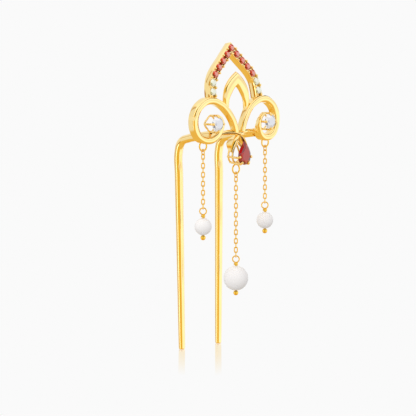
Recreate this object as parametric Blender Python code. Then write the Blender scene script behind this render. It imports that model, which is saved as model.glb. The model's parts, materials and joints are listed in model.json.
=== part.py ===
"""Decorative hair pin: a two-prong gold hair fork with a scrolled head, set stones and three pearl drops.

Every shape is drawn in millimetres as (across, up, forward): across is the wearer's left to right seen from
the front, up runs from the prong tips to the arch, and forward comes out of the ornament's face. finish()
turns a drawing into the part's frame, in metres: across = +X, up = +Z, forward = -Y. The frame's origin is
midway between the two prong tips.
"""

import math

import bmesh
import bpy
from mathutils import Matrix, Vector

MM = 0.001
DRAWING_TO_FRAME = Matrix.Scale(MM, 4) @ Matrix.Rotation(math.radians(90), 4, "X")
MIRROR_ACROSS = Matrix.Scale(-1, 4, (1, 0, 0))
JOIN_DISTANCE = 0.0005

# Prongs: the two legs of the fork, which rise from the tips and bend forward to the head.
TIP_SPREAD = 8.45
BEND_SPREAD = 9.25
TIP_RADIUS = 1.05
PRONG_RADIUS = 1.4
PRONG_TOP = 70.5

# Head strips: scrolls, arches and leaves.
SCROLL_WIDTH = 2.3
SCROLL_DEPTH = 3.0
SCROLL_CROWN = 0.5
LEAF_WIDTH = 2.1
LEAF_DEPTH = 2.2
LEAF_RIDGE = 0.7
LOWER_LEAF_WIDTH = 1.5
LOWER_LEAF_DEPTH = 3.6
ARCH_WIDTH = 2.7
ARCH_DEPTH = 2.7
ARCH_FOOT_UP = 84.0
ARCH_FOOT_FORWARD = 17.3
ARCH_LEAN = math.radians(-9)
INNER_ARCH_DEPTH = 1.4
INNER_ARCH_FORWARD = 17.9

# Outer arch stones, as (across, up) before the arch leans: the tip, then the right side going down.
ARCH_STONES = ((0, 100.2), (2.15, 98.1), (4.3, 96.0), (6.45, 94.0), (8.45, 91.75), (9.85, 89.05), (10.35, 86.1))
ARCH_FOOT = (10.4, 83.3)
RED_STONES_PER_SIDE = 4
BEAD_RADIUS = 0.42
BEAD_FORWARD = 0.15
BEAD_SPREAD = 0.84
FOOT_BEADS_UP = 84.75
FOOT_BEAD_REACH = 0.95

# Stones: radii and heights above and below the girdle.
PAVE_RADIUS = 1.25
ROUND_RADIUS = 2.45
ROUND_CENTRE = (11.95, 75.9)
ROUND_GIRDLE_FORWARD = 20.8
PEAR_TIP = 70.2
PEAR_LENGTH = 8.0
PEAR_HALF_WIDTH = 2.9
PEAR_GIRDLE_FORWARD = 20.9

# Settings: the wire baskets that hold the three large stones.
BASKET_WIDTH = 5.9
BASKET_WIRE = 0.6
CLAW_RADIUS = 0.36
PEAR_RAIL_RADIUS = 0.32
PEAR_RAILS_FORWARD = (16.0, 17.9)
PEAR_CLAW_TURNS = (112, 152, 208, 248)

# Chains: oval wire links, alternately facing the front left and turned a quarter.
LINK_WIRE = 0.36
LINK_WIDTH = 1.35
LINK_INSIDE = 1.44
SOLDER_BITE = 0.07
LOOSE_GAP = 0.05
CHAIN_TWIST = math.radians(-45)
LINKS_PER_SEGMENT = 2
RING_WIRE = 0.6
RING_WIDTH = 3.6

# Head pins: the wire that carries each pearl, with an eye on top and a ball below.
EYE_WIDTH = 2.56
EYE_WIRE = 0.4
PIN_RADIUS = 0.3
WRAP_RADIUS = 0.85
WRAP_HEIGHT = 1.1
BALL_RADIUS = 0.85
BORE_CLEARANCE = 0.06
PEARL_GAP = 0.05

# (side, across, forward, ring centre height, links, pearl radius)
DROPS = (
    ("left", -14.2, 16.3, 68.7, 13, 2.77),
    ("centre", 0.0, 17.0, 60.65, 19, 4.05),
    ("right", 14.2, 16.3, 68.7, 13, 2.77),
)


def clear_scene():
    for obj in list(bpy.data.objects):
        bpy.data.objects.remove(obj, do_unlink=True)


def new_collection(name):
    collection = bpy.data.collections.new(name)
    bpy.context.scene.collection.children.link(collection)
    return collection


def new_material(name, colour, roughness, metallic):
    material = bpy.data.materials.new(name)
    material.use_nodes = True
    shader = material.node_tree.nodes["Principled BSDF"]
    shader.inputs["Base Color"].default_value = (*colour, 1.0)
    shader.inputs["Roughness"].default_value = roughness
    shader.inputs["Metallic"].default_value = metallic
    material.diffuse_color = (*colour, 1.0)
    return material


clear_scene()
PART = new_collection("decorative_hair_pin")
GUIDES = new_collection("guides")
GOLD = new_material("polished_gold", (0.93, 0.66, 0.27), 0.14, 1.0)
RED_GLASS = new_material("red_stone", (0.62, 0.02, 0.03), 0.05, 0.0)
CLEAR_GLASS = new_material("clear_stone", (0.90, 0.90, 0.88), 0.05, 0.0)
PEARL = new_material("pearl", (0.93, 0.91, 0.88), 0.25, 0.0)


# ---------------------------------------------------------------- drawing tools


def loose_object(mesh):
    obj = bpy.data.objects.new("drawing", mesh)
    bpy.context.scene.collection.objects.link(obj)
    return obj


def close_mesh(mesh):
    """Weld caps and seams, and turn every face outward."""
    bm = bmesh.new()
    bm.from_mesh(mesh)
    bmesh.ops.remove_doubles(bm, verts=bm.verts, dist=JOIN_DISTANCE)
    bmesh.ops.recalc_face_normals(bm, faces=bm.faces)
    bm.to_mesh(mesh)
    bm.free()


def evaluated_mesh(obj):
    bpy.context.view_layer.update()
    depsgraph = bpy.context.evaluated_depsgraph_get()
    return bpy.data.meshes.new_from_object(obj.evaluated_get(depsgraph))


def curve_to_solid(data):
    guide = bpy.data.objects.new("guide_curve", data)
    bpy.context.scene.collection.objects.link(guide)
    mesh = evaluated_mesh(guide)
    bpy.data.objects.remove(guide, do_unlink=True)
    close_mesh(mesh)
    return loose_object(mesh)


def profile_curve(points):
    """A closed cross-section for sweep(), drawn as (across the path, toward the front)."""
    data = bpy.data.curves.new("profile", "CURVE")
    data.dimensions = "2D"
    spline = data.splines.new("POLY")
    spline.points.add(len(points) - 1)
    for point, (x, y) in zip(spline.points, points):
        point.co = (x, y, 0, 1)
    spline.use_cyclic_u = True
    guide = bpy.data.objects.new("profile", data)
    guide.hide_render = True
    guide.display_type = "WIRE"
    GUIDES.objects.link(guide)
    return guide


def sweep(points, radius=1.0, scales=None, profile=None, steps=4, sides=2, closed=False):
    """A wire, or a strip with a profile, along the smooth curve through points."""
    data = bpy.data.curves.new("sweep", "CURVE")
    data.dimensions = "3D"
    data.resolution_u = steps
    data.twist_mode = "Z_UP"
    if profile:
        data.bevel_mode = "OBJECT"
        data.bevel_object = profile
    else:
        data.bevel_depth = radius
        data.bevel_resolution = sides
    data.use_fill_caps = not closed
    spline = data.splines.new("BEZIER")
    spline.bezier_points.add(len(points) - 1)
    for i, (knot, point) in enumerate(zip(spline.bezier_points, points)):
        knot.co = point
        knot.handle_left_type = "AUTO"
        knot.handle_right_type = "AUTO"
        knot.radius = scales[i] if scales else 1.0
    spline.use_cyclic_u = closed
    return curve_to_solid(data)


def plate(outline, depth, edge=0.15):
    """A flat outline with rounded edges, its front face at forward 0."""
    data = bpy.data.curves.new("plate", "CURVE")
    data.dimensions = "2D"
    data.fill_mode = "BOTH"
    data.extrude = depth / 2 - edge
    data.bevel_depth = edge
    data.bevel_resolution = 0
    data.offset = -edge
    spline = data.splines.new("POLY")
    spline.points.add(len(outline) - 1)
    for point, (across, up) in zip(spline.points, outline):
        point.co = (across, up, 0, 1)
    spline.use_cyclic_u = True
    obj = curve_to_solid(data)
    obj.data.transform(Matrix.Translation((0, 0, -depth / 2)))
    return obj


def turned(profile, axis, steps, closed=False):
    """Spin a profile of (radius, height) round the drawing's up ("Y") or forward ("Z") axis."""
    bm = bmesh.new()
    verts = []
    for radius, height in profile:
        co = (radius, height, 0) if axis == "Y" else (radius, 0, height)
        verts.append(bm.verts.new(co))
    edges = [bm.edges.new(pair) for pair in zip(verts, verts[1:])]
    if closed:
        edges.append(bm.edges.new((verts[-1], verts[0])))
    turn_axis = (0, 1, 0) if axis == "Y" else (0, 0, 1)
    bmesh.ops.spin(
        bm, geom=verts + edges, cent=(0, 0, 0), axis=turn_axis, angle=math.tau, steps=steps, use_duplicate=False
    )
    mesh = bpy.data.meshes.new("turned")
    bm.to_mesh(mesh)
    bm.free()
    close_mesh(mesh)
    return loose_object(mesh)


def torus(width, wire, major=20, minor=6):
    """A ring that faces forward; width is its outside diameter."""
    bpy.ops.mesh.primitive_torus_add(
        major_segments=major,
        minor_segments=minor,
        major_radius=(width - wire) / 2,
        minor_radius=wire / 2,
    )
    return bpy.context.object


def ball(radius, segments=8, rings=5):
    bm = bmesh.new()
    bmesh.ops.create_uvsphere(bm, u_segments=segments, v_segments=rings, radius=radius)
    mesh = bpy.data.meshes.new("ball")
    bm.to_mesh(mesh)
    bm.free()
    return loose_object(mesh)


def move(obj, matrix):
    obj.data.transform(matrix)
    return obj


def shift(obj, across=0.0, up=0.0, forward=0.0):
    return move(obj, Matrix.Translation((across, up, forward)))


def mirrored(obj):
    mesh = obj.data.copy()
    mesh.transform(MIRROR_ACROSS)
    mesh.flip_normals()
    return loose_object(mesh)


def combine(target, tools, operation, keep_tools, solver="EXACT"):
    """Boolean the tools into the target one by one, and leave a plain mesh."""
    for tool in tools:
        modifier = target.modifiers.new(operation.lower(), "BOOLEAN")
        modifier.operation = operation
        modifier.object = tool
        modifier.solver = solver
        mesh = evaluated_mesh(target)
        target.modifiers.clear()
        target.data = mesh
        if not keep_tools:
            bpy.data.objects.remove(tool, do_unlink=True)
    close_mesh(target.data)
    return target


def join(target, *tools):
    return combine(target, tools, "UNION", keep_tools=False)


def cut(target, *tools, solver="EXACT"):
    return combine(target, tools, "DIFFERENCE", keep_tools=True, solver=solver)


def finish(obj, name, material, pivot=(0, 0, 0), smooth=True):
    """Name the drawing, give it its material, and set it in the part's frame about its pivot."""
    mesh = obj.data
    mesh.transform(DRAWING_TO_FRAME @ Matrix.Translation(-Vector(pivot)))
    mesh.name = name
    mesh.materials.clear()
    mesh.materials.append(material)
    if smooth:
        mesh.shade_smooth()
        mesh.set_sharp_from_angle(angle=math.radians(40))
    else:
        mesh.shade_flat()
    obj.name = name
    obj.location = (DRAWING_TO_FRAME @ Vector(pivot))
    for collection in list(obj.users_collection):
        collection.objects.unlink(obj)
    PART.objects.link(obj)
    return obj


# ---------------------------------------------------------------- fork and scrolls


def draw_prong():
    """Right prong: up from its tip, round the bend, and forward to the back of the scroll."""
    path = (
        (TIP_SPREAD, 0.0, 0.0),
        (TIP_SPREAD, 0.4, 0.0),
        (8.6, 12.0, -0.1),
        (8.95, 38.0, -0.3),
        (9.2, 58.0, -0.5),
        (BEND_SPREAD, 66.0, -0.5),
        (BEND_SPREAD, PRONG_TOP - 1.35, 0.9),
        (9.3, PRONG_TOP, 4.4),
        (9.5, 71.3, 9.5),
        (9.8, 72.2, 15.9),
    )
    slender = TIP_RADIUS / PRONG_RADIUS
    scales = (slender - 0.2, slender, 0.82, 0.92, 1, 1, 1, 1, 1, 1)
    return sweep(path, radius=PRONG_RADIUS, scales=scales, steps=4, sides=4)


def strip_profile(width, depth, crown):
    half = width / 2
    return profile_curve(
        (
            (-half, -depth),
            (half, -depth),
            (half, -crown),
            (half * 0.55, -crown * 0.3),
            (0, 0),
            (-half * 0.55, -crown * 0.3),
            (-half, -crown),
        )
    )


def ridge_profile(width, depth, ridge):
    half = width / 2
    return profile_curve(((-half, -depth), (half, -depth), (half, -ridge), (0, 0), (-half, -ridge)))


def draw_scroll():
    """Right scroll: from the middle of the head up and over, round, and inward to a thin curl."""
    path = (
        (1.35, 72.9, 19.3),
        (2.1, 75.4, 19.3),
        (3.3, 77.7, 19.2),
        (5.15, 80.1, 18.9),
        (7.6, 82.0, 18.6),
        (12.2, 83.25, 18.3),
        (15.7, 82.0, 18.2),
        (18.0, 79.3, 18.2),
        (18.6, 76.3, 18.2),
        (17.85, 73.3, 18.3),
        (16.15, 71.3, 18.5),
        (13.4, 70.5, 18.7),
        (10.7, 71.2, 19.1),
        (9.0, 73.3, 19.6),
        (8.5, 75.8, 20.0),
        (9.3, 77.6, 20.1),
        (10.9, 78.6, 20.1),
    )
    scales = (0.82, 0.84, 0.86, 0.9, 0.94, 1, 1, 1, 1, 1, 1, 1, 0.95, 0.74, 0.52, 0.36, 0.24)
    profile = strip_profile(SCROLL_WIDTH, SCROLL_DEPTH, SCROLL_CROWN)
    return sweep(path, scales=scales, profile=profile, steps=4)


def draw_leaf():
    """Right upper leaf: from the junction out to the underside of the curl."""
    path = ((0.35, 71.9, 19.3), (2.2, 72.5, 19.1), (4.6, 72.6, 18.8), (6.6, 72.4, 18.6), (8.4, 72.1, 18.4))
    profile = ridge_profile(LEAF_WIDTH, LEAF_DEPTH, LEAF_RIDGE)
    return sweep(path, scales=(0.3, 0.85, 1.0, 0.75, 0.3), profile=profile, steps=4)


def draw_lower_leaf():
    """Right lower leaf: down beside the pear stone's tip."""
    path = ((0.55, 71.2, 19.4), (1.7, 70.3, 19.4), (2.85, 68.5, 19.3), (3.9, 66.4, 19.1))
    profile = ridge_profile(LOWER_LEAF_WIDTH, LOWER_LEAF_DEPTH, LEAF_RIDGE)
    return sweep(path, scales=(0.55, 1.0, 1.0, 0.45), profile=profile, steps=4)


# ---------------------------------------------------------------- arches


def arch_direction(path, i):
    before = Vector(path[max(i - 1, 0)])
    after = Vector(path[min(i + 1, len(path) - 1)])
    return (after - before).normalized()


def offset_path(path, distance):
    """The path moved outward by distance, starting on the centre line."""
    half_angle = math.atan2(path[1][0], path[0][1] - path[1][1])
    moved = [(0, path[0][1] + distance / math.sin(half_angle))]
    for i in range(1, len(path)):
        tangent = arch_direction(path, i)
        moved.append((path[i][0] - tangent.y * distance, path[i][1] + tangent.x * distance))
    return moved


def both_sides(outer, inner):
    """Closed outline of a pointed arch from its right half's outer and inner edges, tip first."""
    left_outer = [(-x, y) for x, y in reversed(outer[1:])]
    left_inner = [(-x, y) for x, y in inner[1:]]
    return left_outer + list(outer) + list(reversed(inner[1:])) + [inner[0]] + left_inner


def lean(obj):
    """Carry a flat arch drawing onto the leaning arch, which tips back above its feet."""
    foot = Matrix.Translation((0, ARCH_FOOT_UP, ARCH_FOOT_FORWARD))
    return move(obj, foot @ Matrix.Rotation(ARCH_LEAN, 4, "X") @ Matrix.Translation((0, -ARCH_FOOT_UP, 0)))


def arch_seats():
    """Every stone's place on the flat arch: the tip, then right and left going down."""
    seats = [ARCH_STONES[0]]
    for side in (1, -1):
        seats.extend((side * x, y) for x, y in ARCH_STONES[1:])
    return seats


def bead_places(path):
    """Claw beads on the right side: a pair between neighbouring stones, and a pair at the foot."""
    reach = BEAD_SPREAD * ARCH_WIDTH / 2
    places = []
    for i in range(len(ARCH_STONES) - 1):
        middle = (Vector(path[i]) + Vector(path[i + 1])) / 2
        along = (Vector(path[i + 1]) - Vector(path[i])).normalized()
        for edge in (reach, -reach):
            places.append((middle.x - along.y * edge, middle.y + along.x * edge))
    for edge in (FOOT_BEAD_REACH, -FOOT_BEAD_REACH):
        places.append((ARCH_STONES[-1][0] + edge, FOOT_BEADS_UP))
    return places


def draw_outer_arch():
    path = list(ARCH_STONES) + [ARCH_FOOT]
    outline = both_sides(offset_path(path, ARCH_WIDTH / 2), offset_path(path, -ARCH_WIDTH / 2))
    arch = plate(outline, ARCH_DEPTH)
    beads = []
    for across, up in bead_places(path):
        for side in (1, -1):
            beads.append(shift(ball(BEAD_RADIUS), side * across, up, BEAD_FORWARD))
    return lean(join(arch, *beads))


def draw_inner_arch():
    outer = ((0, 92.4), (1.5, 91.4), (3.3, 89.8), (4.9, 87.6), (5.6, 85.4), (5.75, 83.2), (5.5, 81.1))
    inner = ((0, 87.6), (0.9, 86.8), (2.0, 85.3), (2.9, 83.9), (3.4, 82.3), (3.5, 80.7), (3.3, 79.3))
    return shift(plate(both_sides(outer, inner), INNER_ARCH_DEPTH), forward=INNER_ARCH_FORWARD)


# ---------------------------------------------------------------- stones and settings


def brilliant(radius, steps):
    """Round stone, table forward, with its girdle at forward 0."""
    profile = (
        (0, radius * 0.38),
        (radius * 0.58, radius * 0.38),
        (radius, 0.04),
        (radius, -0.04),
        (radius * 0.15, -radius * 0.72),
        (0, -radius * 0.72),
    )
    return turned(profile, "Z", steps)


def teardrop(turn, grow=0.0):
    """Point of the pear outline at a turn from its tip, moved outward by grow."""
    half_length = PEAR_LENGTH / 2 + grow
    half_width = (PEAR_HALF_WIDTH + grow) / 0.77
    across = half_width * math.sin(turn) * abs(math.sin(turn / 2))
    return across, PEAR_TIP - PEAR_LENGTH / 2 + half_length * math.cos(turn)


def draw_pear_stone():
    """A turned stone drawn out from round to the teardrop outline."""
    stone = brilliant(1.0, 20)
    waist = PEAR_TIP - PEAR_LENGTH * 0.62
    for vertex in stone.data.vertices:
        reach = math.hypot(vertex.co.x, vertex.co.y)
        across, up = teardrop(math.atan2(vertex.co.x, vertex.co.y) % math.tau)
        depth = vertex.co.z * PEAR_HALF_WIDTH * (0.85 if vertex.co.z > 0 else 1.0)
        vertex.co = (across * reach, waist + (up - waist) * reach, depth)
    close_mesh(stone.data)
    return shift(stone, forward=PEAR_GIRDLE_FORWARD)


def draw_round_basket():
    """Base ring and four claws that stand forward and bend over the stone."""
    basket = shift(torus(BASKET_WIDTH, BASKET_WIRE, major=16), forward=17.5)
    claw_path = ((2.62, 0, 17.2), (2.66, 0, 20.8), (2.1, 0, 21.65))
    claws = []
    for quarter in range(4):
        claw = sweep(claw_path, radius=CLAW_RADIUS, steps=3, sides=1)
        claws.append(move(claw, Matrix.Rotation(math.radians(90 * quarter), 4, "Z")))
    join(basket, *claws)
    return shift(basket, ROUND_CENTRE[0], ROUND_CENTRE[1])


def pear_rail(forward):
    points = []
    for i in range(12):
        across, up = teardrop(math.tau * (i + 0.5) / 12, grow=-0.35)
        points.append((across, up, forward))
    return sweep(points, radius=PEAR_RAIL_RADIUS, steps=2, sides=1, closed=True)


def draw_pear_basket():
    """Two teardrop rails behind the stone, tied by four claws that grip its rounded end and shoulders."""
    back_rail, front_rail = PEAR_RAILS_FORWARD
    basket = pear_rail(back_rail)
    pieces = [pear_rail(front_rail)]
    for turn_degrees in PEAR_CLAW_TURNS:
        turn = math.radians(turn_degrees)
        base = teardrop(turn, grow=-0.3)
        side = teardrop(turn, grow=0.15)
        over = teardrop(turn, grow=-0.5)
        path = ((*base, 15.7), (*side, 20.4), (*over, 21.8))
        pieces.append(sweep(path, radius=CLAW_RADIUS, steps=3, sides=1))
    return join(basket, *pieces)


# ---------------------------------------------------------------- chains and drops


def draw_link(turn):
    """One oval link, standing on end and turned about the chain's line."""
    link = torus(LINK_WIDTH, LINK_WIRE, major=12, minor=6)
    stretch = (LINK_INSIDE + 2 * LINK_WIRE - LINK_WIDTH) / 2
    for vertex in link.data.vertices:
        if abs(vertex.co.y) > 0.01:
            vertex.co.y += math.copysign(stretch, vertex.co.y)
    return move(link, Matrix.Rotation(turn, 4, "Y"))


def link_turn(index):
    """Each link is a quarter turn on from the last, and the first three also take up the chain's twist."""
    return math.radians(90) * (index + 1) + CHAIN_TWIST * min(index / 2, 1)


def segment_sizes(links):
    """How many links each rigid run holds; the last run takes what is left over."""
    runs = [LINKS_PER_SEGMENT] * (links // LINKS_PER_SEGMENT)
    runs[-1] += links % LINKS_PER_SEGMENT
    return runs


def draw_drop(side, across, forward, ring_up, links, pearl_radius):
    """Chain runs, head pin and pearl below one hang ring, each about its own hinge."""
    hinge_up = ring_up - RING_WIDTH / 2 + RING_WIRE + LOOSE_GAP / 2
    link_up = hinge_up + (LOOSE_GAP - LINK_INSIDE) / 2
    index = 0
    for number, run in enumerate(segment_sizes(links), start=1):
        pieces = []
        for _ in range(run):
            pieces.append(shift(draw_link(link_turn(index)), across, link_up, forward))
            link_up -= LINK_INSIDE + SOLDER_BITE
            index += 1
        segment = join(pieces[0], *pieces[1:])
        finish(segment, f"{side}_chain_{number}", GOLD, (across, hinge_up, forward))
        link_up += SOLDER_BITE + LOOSE_GAP
        hinge_up = link_up + (LINK_INSIDE - LOOSE_GAP) / 2
    draw_pearl_pin(side, across, forward, hinge_up, pearl_radius)


def draw_pearl_pin(side, across, forward, hinge_up, pearl_radius):
    eye_up = hinge_up + LOOSE_GAP / 2 + EYE_WIRE - EYE_WIDTH / 2
    wrap_top = (EYE_WIRE - EYE_WIDTH) / 2
    wrap_bottom = wrap_top - WRAP_HEIGHT
    pearl_up = wrap_bottom - PEARL_GAP - pearl_radius
    ball_up = pearl_up - pearl_radius - BALL_RADIUS * 0.97
    profile = [(0, wrap_top), (WRAP_RADIUS * 0.7, wrap_top)]
    for step in (0.25, 0.5, 0.75):
        waist = 0.75 if step == 0.5 else 1.0
        profile.append((WRAP_RADIUS * waist, wrap_top - WRAP_HEIGHT * step))
    profile += [(WRAP_RADIUS * 0.7, wrap_bottom), (PIN_RADIUS, wrap_bottom)]
    neck = math.asin(PIN_RADIUS / BALL_RADIUS)
    for i in range(6):
        turn = neck + (math.pi - neck) * i / 5
        profile.append((BALL_RADIUS * math.sin(turn), ball_up + BALL_RADIUS * math.cos(turn)))
    profile[-1] = (0, ball_up - BALL_RADIUS)
    eye = move(torus(EYE_WIDTH, EYE_WIRE, 16, 6), Matrix.Rotation(CHAIN_TWIST, 4, "Y"))
    pin = shift(join(turned(profile, "Y", 10), eye), across, eye_up, forward)
    finish(pin, f"{side}_head_pin", GOLD, (across, hinge_up, forward))

    bore = PIN_RADIUS + BORE_CLEARANCE
    start = math.asin(bore / pearl_radius)
    skin = []
    for i in range(9):
        turn = start + (math.pi - 2 * start) * i / 8
        skin.append((pearl_radius * math.sin(turn), pearl_radius * math.cos(turn)))
    pearl = shift(turned(skin, "Y", 16, closed=True), across, eye_up + pearl_up, forward)
    finish(pearl, f"{side}_pearl", PEARL, (across, eye_up + pearl_up, forward))


# ---------------------------------------------------------------- assembly


def build_head():
    scrolls = {"right": draw_scroll()}
    scrolls["left"] = mirrored(scrolls["right"])
    both_scrolls = list(scrolls.values())

    pear = draw_pear_stone()
    pear_basket = cut(draw_pear_basket(), pear)

    leaf = cut(draw_leaf(), scrolls["right"])
    lower_leaf = cut(draw_lower_leaf(), leaf, scrolls["right"], pear, pear_basket)
    prong = cut(draw_prong(), scrolls["right"])
    gem = shift(brilliant(ROUND_RADIUS, 16), *ROUND_CENTRE, ROUND_GIRDLE_FORWARD)
    # The exact solver loses the whole basket on the scroll's curl; the manifold one trims it.
    basket = cut(draw_round_basket(), gem, scrolls["right"], solver="MANIFOLD")
    _, across, forward, ring_up, _, _ = DROPS[2]
    ring = cut(shift(torus(RING_WIDTH, RING_WIRE), across, ring_up, forward), scrolls["right"])
    halves = (
        ("prong", prong, GOLD, True),
        ("leaf", leaf, GOLD, True),
        ("lower_leaf", lower_leaf, GOLD, True),
        ("stone_basket", basket, GOLD, True),
        ("round_stone", gem, CLEAR_GLASS, False),
        ("hang_ring", ring, GOLD, True),
    )
    for name, right, material, smooth in halves:
        left = mirrored(right)
        finish(left, f"left_{name}", material, smooth=smooth)
        finish(right, f"right_{name}", material, smooth=smooth)

    _, across, forward, ring_up, _, _ = DROPS[1]
    centre_ring = cut(shift(torus(RING_WIDTH, RING_WIRE), across, ring_up, forward), pear_basket)
    finish(centre_ring, "centre_hang_ring", GOLD)
    finish(pear, "pear_stone", RED_GLASS, smooth=False)
    finish(pear_basket, "pear_basket", GOLD)
    finish(cut(draw_inner_arch(), *both_scrolls), "inner_arch", GOLD)
    build_outer_arch(both_scrolls)
    for side, scroll in scrolls.items():
        finish(scroll, f"{side}_scroll", GOLD)


def build_outer_arch(scrolls):
    stones = []
    for across, up in arch_seats():
        stones.append(lean(shift(brilliant(PAVE_RADIUS, 10), across, up, 0.12)))
    finish(cut(draw_outer_arch(), *stones, *scrolls), "outer_arch", GOLD)
    counts = {"red": 0, "clear": 0}
    per_side = len(ARCH_STONES) - 1
    for i, stone in enumerate(stones):
        is_red = i == 0 or (i - 1) % per_side < RED_STONES_PER_SIDE
        colour, material = ("red", RED_GLASS) if is_red else ("clear", CLEAR_GLASS)
        counts[colour] += 1
        finish(stone, f"arch_{colour}_stone_{counts[colour]}", material, smooth=False)


build_head()
for drop in DROPS:
    draw_drop(*drop)
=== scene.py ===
"""Looks for the decorative hair pin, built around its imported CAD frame.

Pieces are drawn in millimetres as (across, up, forward), as the CAD model is, and settle() carries a
drawing into the frame: across = +X, up = +Z, forward = -Y. fit() then sets the scrolls, stones and pearls to
their CAD nodes' boxes on every axis, and the prongs, outer arch and upper leaves on one axis. The lower
leaves, baskets and inner arch stay where they are drawn. Links, rings and head pins are placed from their
nodes' boxes.
"""

import json
import math

import bmesh
import bpy
from mathutils import Matrix, Vector

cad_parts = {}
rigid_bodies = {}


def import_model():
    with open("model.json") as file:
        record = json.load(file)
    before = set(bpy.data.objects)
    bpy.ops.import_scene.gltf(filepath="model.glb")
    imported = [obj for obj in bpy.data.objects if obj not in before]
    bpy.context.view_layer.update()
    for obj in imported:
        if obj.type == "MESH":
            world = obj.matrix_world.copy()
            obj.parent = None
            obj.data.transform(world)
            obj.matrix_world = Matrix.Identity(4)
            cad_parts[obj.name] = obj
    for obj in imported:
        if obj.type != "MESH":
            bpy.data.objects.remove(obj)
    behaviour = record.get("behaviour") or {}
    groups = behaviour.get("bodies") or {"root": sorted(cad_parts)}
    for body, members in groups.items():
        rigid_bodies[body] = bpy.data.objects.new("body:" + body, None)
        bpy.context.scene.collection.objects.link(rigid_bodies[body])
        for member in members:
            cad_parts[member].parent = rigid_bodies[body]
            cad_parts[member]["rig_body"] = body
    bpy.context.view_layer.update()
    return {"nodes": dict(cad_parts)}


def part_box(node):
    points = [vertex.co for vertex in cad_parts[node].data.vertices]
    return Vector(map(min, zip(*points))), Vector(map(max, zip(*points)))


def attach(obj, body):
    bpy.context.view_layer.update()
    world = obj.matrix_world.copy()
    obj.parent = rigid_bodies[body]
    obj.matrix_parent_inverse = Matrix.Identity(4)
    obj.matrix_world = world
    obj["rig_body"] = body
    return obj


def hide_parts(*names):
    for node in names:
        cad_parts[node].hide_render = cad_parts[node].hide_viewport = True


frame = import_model()

MM = 0.001
DRAWING_TO_FRAME = Matrix.Scale(MM, 4) @ Matrix.Rotation(math.radians(90), 4, "X")
MIRROR_ACROSS = Matrix.Scale(-1, 4, (1, 0, 0))
WELD_DISTANCE = 0.0005
SIDES = ("left", "right")

# Prongs
PRONG_RADIUS = 1.4
TIP_ROUNDING = ((0.0, 0.58), (0.06, 0.66), (0.2, 0.72), (0.45, 0.75))

# Head strips
SCROLL_WIDTH = 2.3
SCROLL_DEPTH = 3.0
SCROLL_CROWN = 0.5
EDGE_FILLET = 0.22
FRONT_FILLET = 0.36
LEAF_WIDTH = 2.1
LEAF_DEPTH = 2.2
LEAF_RIDGE = 0.7
LOWER_LEAF_WIDTH = 1.5
LOWER_LEAF_DEPTH = 3.6
ARCH_WIDTH = 2.7
ARCH_DEPTH = 2.7
ARCH_FOOT_UP = 84.0
ARCH_FOOT_FORWARD = 17.3
ARCH_LEAN = math.radians(-9)
ARCH_STATIONS = 56
INNER_ARCH_WIDTH = 2.2
INNER_ARCH_DEPTH = 1.4
INNER_ARCH_CROWN = 0.7
INNER_ARCH_FORWARD = 17.9
ARCH_STONES = (
    (0, 100.2),
    (2.15, 98.1),
    (4.3, 96.0),
    (6.45, 94.0),
    (8.45, 91.75),
    (9.85, 89.05),
    (10.35, 86.1),
)
ARCH_FOOT = (10.4, 83.3)
BEAD_RADIUS = 0.42
BEAD_FORWARD = 0.18
BEAD_SPREAD = 0.86
FOOT_BEADS_UP = 84.75
FOOT_BEAD_REACH = 0.95
CHANNEL_DEPTH = 0.35

# Stones and settings
PAVE_GIRDLE_FORWARD = 0.12
PEAR_TIP = 70.2
PEAR_LENGTH = 8.0
PEAR_HALF_WIDTH = 2.9
ROUND_CENTRE = (11.95, 75.9)
BASKET_REACH = 2.62
BASKET_DIAMOND_CUT = 0.45
BASKET_FORWARD = 17.5
BASKET_WIRE = 0.6
CLAW_RADIUS = 0.36
CLAW_TIP_RADIUS = 0.46
PEAR_RAIL_RADIUS = 0.32
PEAR_RAILS_FORWARD = (16.0, 17.9)
PEAR_CLAW_TURNS = (112, 152, 208, 248)

# Chains and drops
LINK_WIRE = 0.36
LINK_WIDTH = 1.35
FIRST_LINK_WIDTH = 1.52
LINK_INSIDE = 1.44
LINK_PITCH = 1.51
CHAIN_TWIST = math.radians(-45)
RING_WIDTH = 3.6
RING_WIRE = 0.52
EYE_WIDTH = 2.56
EYE_WIRE = 0.4
PIN_RADIUS = 0.3
WRAP_WIRE = 0.44
WRAP_HEIGHT = 1.1
BALL_RADIUS = 0.85

# Painted facet light on the stones: how finely facet directions are told apart, and how squarely forward a
# table looks
FACET_SNAP = 0.02
TABLE_FACING = 0.95


# ---------------------------------------------------------------- drawing tools


def loose_object(mesh):
    obj = bpy.data.objects.new("drawing", mesh)
    bpy.context.scene.collection.objects.link(obj)
    return obj


def close_mesh(mesh):
    """Weld caps and seams, and turn every face outward."""
    bm = bmesh.new()
    bm.from_mesh(mesh)
    bmesh.ops.remove_doubles(bm, verts=bm.verts, dist=WELD_DISTANCE)
    bmesh.ops.recalc_face_normals(bm, faces=bm.faces)
    bm.to_mesh(mesh)
    bm.free()


def curve_to_mesh(data):
    guide = bpy.data.objects.new("guide_curve", data)
    bpy.context.scene.collection.objects.link(guide)
    bpy.context.view_layer.update()
    depsgraph = bpy.context.evaluated_depsgraph_get()
    mesh = bpy.data.meshes.new_from_object(guide.evaluated_get(depsgraph))
    bpy.data.objects.remove(guide, do_unlink=True)
    close_mesh(mesh)
    return loose_object(mesh)


def rounded(corners, steps=5):
    """An outline from (x, y, reach) corners, each one rounded from reach before it to reach after it."""
    outline = []
    for i, (x, y, reach) in enumerate(corners):
        corner = Vector((x, y))
        if reach == 0:
            outline.append(corner)
            continue
        before = Vector(corners[i - 1][:2])
        after = Vector(corners[(i + 1) % len(corners)][:2])
        start = corner + (before - corner).normalized() * reach
        end = corner + (after - corner).normalized() * reach
        for k in range(steps + 1):
            s = k / steps
            outline.append(start * (1 - s) ** 2 + corner * 2 * s * (1 - s) + end * s * s)
    return outline


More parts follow.
